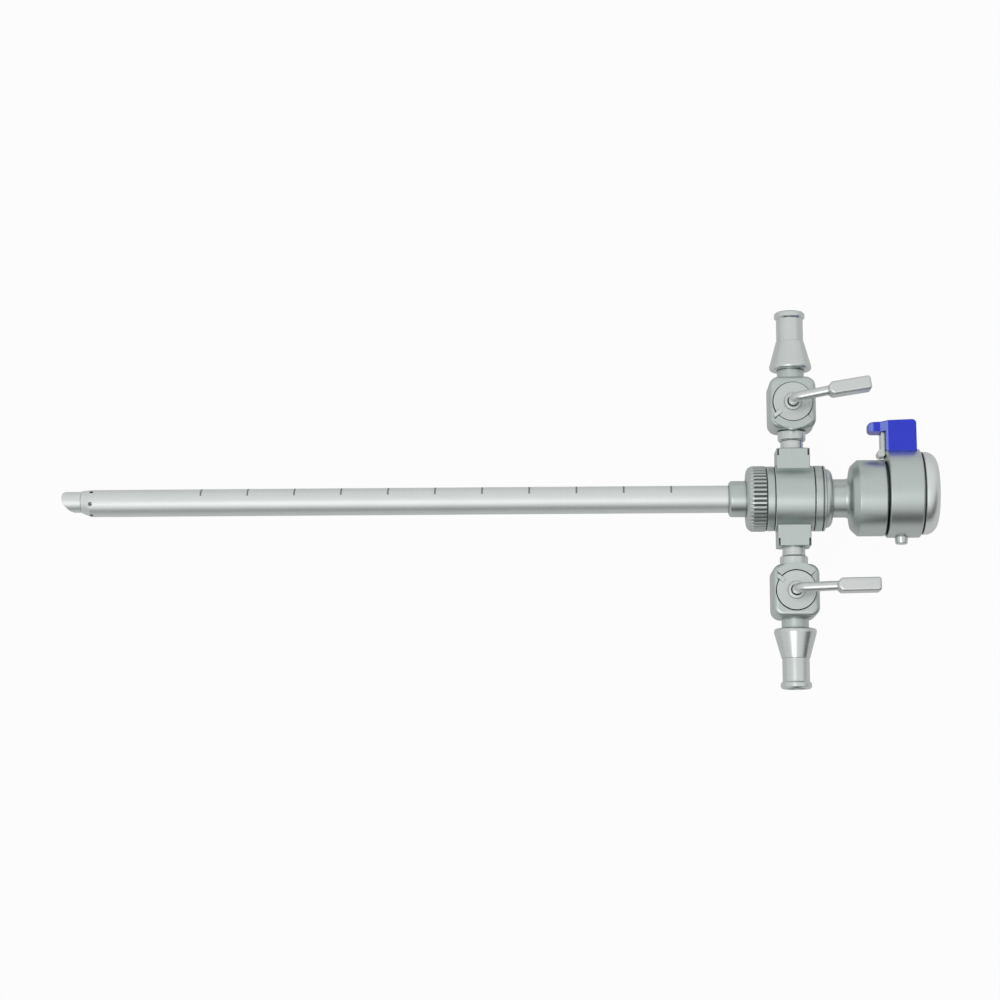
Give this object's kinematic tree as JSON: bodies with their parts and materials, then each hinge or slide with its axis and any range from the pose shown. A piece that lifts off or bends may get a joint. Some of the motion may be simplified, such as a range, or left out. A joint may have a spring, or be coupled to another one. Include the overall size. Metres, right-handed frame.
{
  "type": "arthroscope sheath",
  "caption": "Slim double tube sheath with an oblique tip, a fluted coupling ring, a rotating collar with opposed lever taps and hose nozzles, and a round telescope lock with a blue lever.",
  "frame": {"origin": "centre of the ferrule's front face, on the working shaft's axis, where the working length begins", "axes": "+X back along the shaft towards the telescope lock, +Y along the inflow tap, +Z the side the tap levers are on"},
  "size_m": [0.1859, 0.0804, 0.0229],
  "materials": {
    "satin_steel": "satin",
    "polished_steel": "polished",
    "blue_plastic": "satin",
    "seal_rubber": "matte"
  },
  "bodies": {
    "hub": {"inner_tube": "satin_steel", "outer_tube": "satin_steel", "tube_ferrule": "satin_steel", "hub_core": "satin_steel", "journal_seals": "seal_rubber", "collar_nut": "satin_steel", "end_cap": "satin_steel", "lock_body": "satin_steel", "scope_seal": "seal_rubber", "ring_washer": "satin_steel", "lock_cap": "satin_steel"},
    "coupling": {"coupling_ring": "satin_steel"},
    "collar": {"rotating_collar": "satin_steel", "inflow_stub": "satin_steel", "inflow_union": "satin_steel", "inflow_housing": "satin_steel", "inflow_nozzle": "satin_steel", "outflow_stub": "satin_steel", "outflow_union": "satin_steel", "outflow_housing": "satin_steel", "outflow_nozzle": "satin_steel"},
    "inflow_tap": {"inflow_key": "polished_steel", "inflow_rod": "satin_steel", "inflow_grip": "satin_steel", "inflow_washer": "satin_steel", "inflow_nut": "satin_steel"},
    "outflow_tap": {"outflow_key": "polished_steel", "outflow_rod": "satin_steel", "outflow_grip": "satin_steel", "outflow_washer": "satin_steel", "outflow_nut": "satin_steel"},
    "telescope_lock": {"lock_ring": "satin_steel", "lock_stud": "polished_steel", "lock_lever": "blue_plastic", "lever_bracket": "satin_steel"},
    "latch": {"lock_latch": "satin_steel"}
  },
  "joints": [
    {"name": "coupling_turn", "type": "hinge", "parent": "hub", "child": "coupling", "pos_m": [0.00575, 0, 0], "axis": [1, 0, 0], "range_deg": [0, 60]},
    {"name": "collar_turn", "type": "hinge", "parent": "hub", "child": "collar", "pos_m": [0.0136, 0, 0], "axis": [1, 0, 0], "continuous": true},
    {"name": "inflow_tap_turn", "type": "hinge", "parent": "collar", "child": "inflow_tap", "pos_m": [0.0136, 0.01995, 0], "axis": [0, 0, 1], "range_deg": [-99, 0]},
    {"name": "outflow_tap_turn", "type": "hinge", "parent": "collar", "child": "outflow_tap", "pos_m": [0.0136, -0.01995, 0], "axis": [0, 0, 1], "range_deg": [0, 89]},
    {"name": "lock_turn", "type": "hinge", "parent": "hub", "child": "telescope_lock", "pos_m": [0.0367, 0.00095, 0], "axis": [1, 0, 0], "range_deg": [0, 40]},
    {"name": "latch_slide", "type": "slide", "parent": "hub", "child": "latch", "axis": [0, -1, 0], "range_m": [0, 0.0005]}
  ],
  "couplings": [
    {"joint": "latch_slide", "follows": "lock_turn", "m_per_rad": 0.000573}
  ]
}
